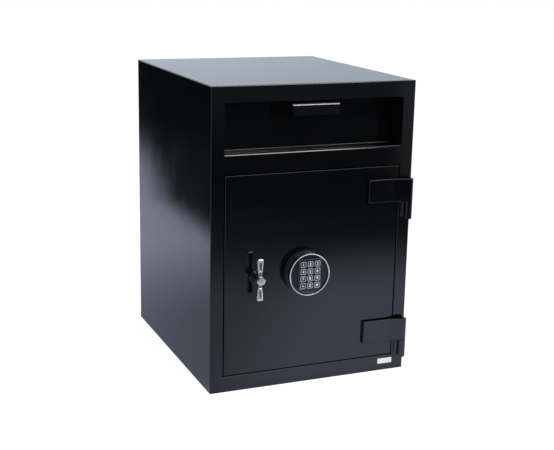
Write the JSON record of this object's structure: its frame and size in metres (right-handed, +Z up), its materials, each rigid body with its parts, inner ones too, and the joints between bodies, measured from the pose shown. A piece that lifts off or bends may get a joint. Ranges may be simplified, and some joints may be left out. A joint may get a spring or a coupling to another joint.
{
  "type": "depository safe",
  "caption": "Front-loading depository safe: welded steel body, tilting deposit hopper, hinged door with thrown round bolts, T-handle and round electronic keypad.",
  "frame": {"origin": "centre of the body's footprint on the floor, at the middle of the four floor anchor holes", "axes": "+Z up; the front with the door and hopper faces -Y; +X is to the right seen from the front, where the door hinges are"},
  "size_m": [0.432, 0.5365, 0.61],
  "materials": {
    "black_enamel": "gloss black enamel with a slight orange peel",
    "plain_steel": "zinc plated",
    "satin_chrome": "satin chrome plate",
    "black_plastic": "moulded, semi gloss",
    "key_plastic": "moulded, black, with printed digits and borders",
    "rubber": "matt",
    "board": "glass fibre board"
  },
  "bodies": {
    "body": {"body_top": "black_enamel", "body_bottom": "black_enamel", "body_left": "black_enamel", "body_right": "black_enamel", "body_back": "black_enamel", "front_frame": "black_enamel", "recess_left": "black_enamel", "recess_right": "black_enamel", "recess_floor": "black_enamel", "throat_baffle": "black_enamel", "rest_buffers": "rubber", "open_buffers": "rubber", "upper_hinge_block": "black_enamel", "lower_hinge_block": "black_enamel", "hinge_pins": "plain_steel", "door_stop_top": "black_enamel", "door_stop_bottom": "black_enamel"},
    "hopper": {"hopper_panel": "black_enamel", "pull_lip": "black_enamel", "hopper_tray": "black_enamel", "hopper_cheek_left": "black_enamel", "hopper_cheek_right": "black_enamel", "hopper_pins": "plain_steel"},
    "door": {"door_plate": "black_enamel", "upper_strap": "black_enamel", "lower_strap": "black_enamel", "dead_bar": "plain_steel", "bolt_guide": "plain_steel", "guide_stud": "plain_steel", "shaft_bushing": "plain_steel", "handle_collar": "black_plastic", "lock_case": "plain_steel", "swing_bolt_pin": "plain_steel", "cover_posts": "plain_steel", "inner_cover": "black_enamel", "cover_screws": "plain_steel", "keypad_base": "black_plastic", "keypad_housing": "black_plastic", "keypad_ring": "satin_chrome", "keypad_face": "black_plastic", "key_board": "board"},
    "handle": {"t_handle": "satin_chrome", "handle_shaft": "plain_steel", "crank_arm": "plain_steel"},
    "boltwork": {"bolt_bar": "plain_steel", "tie_bar": "plain_steel", "locking_bolts": "satin_chrome"},
    "swing": {"swing_bolt": "plain_steel"},
    "key_1": {"key_1": "key_plastic"},
    "key_2": {"key_2": "key_plastic"},
    "key_3": {"key_3": "key_plastic"},
    "key_4": {"key_4": "key_plastic"},
    "key_5": {"key_5": "key_plastic"},
    "key_6": {"key_6": "key_plastic"},
    "key_7": {"key_7": "key_plastic"},
    "key_8": {"key_8": "key_plastic"},
    "key_9": {"key_9": "key_plastic"},
    "key_star": {"key_star": "key_plastic"},
    "key_0": {"key_0": "key_plastic"},
    "key_hash": {"key_hash": "key_plastic"}
  },
  "joints": [
    {"name": "hopper_tilt", "type": "hinge", "parent": "body", "child": "hopper", "pos_m": [0, -0.202, 0.4765], "axis": [1, 0, 0], "range_deg": [0, 60]},
    {"name": "door_swing", "type": "hinge", "parent": "body", "child": "door", "pos_m": [0.207, -0.259, 0.24], "axis": [0, 0, 1], "range_deg": [0, 175]},
    {"name": "handle_turn", "type": "hinge", "parent": "door", "child": "handle", "pos_m": [-0.124, -0.25, 0.23525], "axis": [0, -1, 0], "range_deg": [0, 90]},
    {"name": "bolt_slide", "type": "slide", "parent": "door", "child": "boltwork", "axis": [-1, 0, 0], "range_m": [0, 0.0255]},
    {"name": "swing_turn", "type": "hinge", "parent": "door", "child": "swing", "pos_m": [-0.021, -0.212, 0.23454], "axis": [0, -1, 0], "range_deg": [0, 90]},
    {"name": "key_1_press", "type": "slide", "parent": "door", "child": "key_1", "axis": [0, 1, 0], "range_m": [0, 0.0008], "stiffness_N_per_m": 1500},
    {"name": "key_2_press", "type": "slide", "parent": "door", "child": "key_2", "axis": [0, 1, 0], "range_m": [0, 0.0008], "stiffness_N_per_m": 1500},
    {"name": "key_3_press", "type": "slide", "parent": "door", "child": "key_3", "axis": [0, 1, 0], "range_m": [0, 0.0008], "stiffness_N_per_m": 1500},
    {"name": "key_4_press", "type": "slide", "parent": "door", "child": "key_4", "axis": [0, 1, 0], "range_m": [0, 0.0008], "stiffness_N_per_m": 1500},
    {"name": "key_5_press", "type": "slide", "parent": "door", "child": "key_5", "axis": [0, 1, 0], "range_m": [0, 0.0008], "stiffness_N_per_m": 1500},
    {"name": "key_6_press", "type": "slide", "parent": "door", "child": "key_6", "axis": [0, 1, 0], "range_m": [0, 0.0008], "stiffness_N_per_m": 1500},
    {"name": "key_7_press", "type": "slide", "parent": "door", "child": "key_7", "axis": [0, 1, 0], "range_m": [0, 0.0008], "stiffness_N_per_m": 1500},
    {"name": "key_8_press", "type": "slide", "parent": "door", "child": "key_8", "axis": [0, 1, 0], "range_m": [0, 0.0008], "stiffness_N_per_m": 1500},
    {"name": "key_9_press", "type": "slide", "parent": "door", "child": "key_9", "axis": [0, 1, 0], "range_m": [0, 0.0008], "stiffness_N_per_m": 1500},
    {"name": "key_star_press", "type": "slide", "parent": "door", "child": "key_star", "axis": [0, 1, 0], "range_m": [0, 0.0008], "stiffness_N_per_m": 1500},
    {"name": "key_0_press", "type": "slide", "parent": "door", "child": "key_0", "axis": [0, 1, 0], "range_m": [0, 0.0008], "stiffness_N_per_m": 1500},
    {"name": "key_hash_press", "type": "slide", "parent": "door", "child": "key_hash", "axis": [0, 1, 0], "range_m": [0, 0.0008], "stiffness_N_per_m": 1500}
  ],
  "couplings": [
    {"joint": "bolt_slide", "follows": "handle_turn", "m_per_rad": 0.016206},
    {"joint": "swing_turn", "follows": "handle_turn", "ratio": 1}
  ]
}
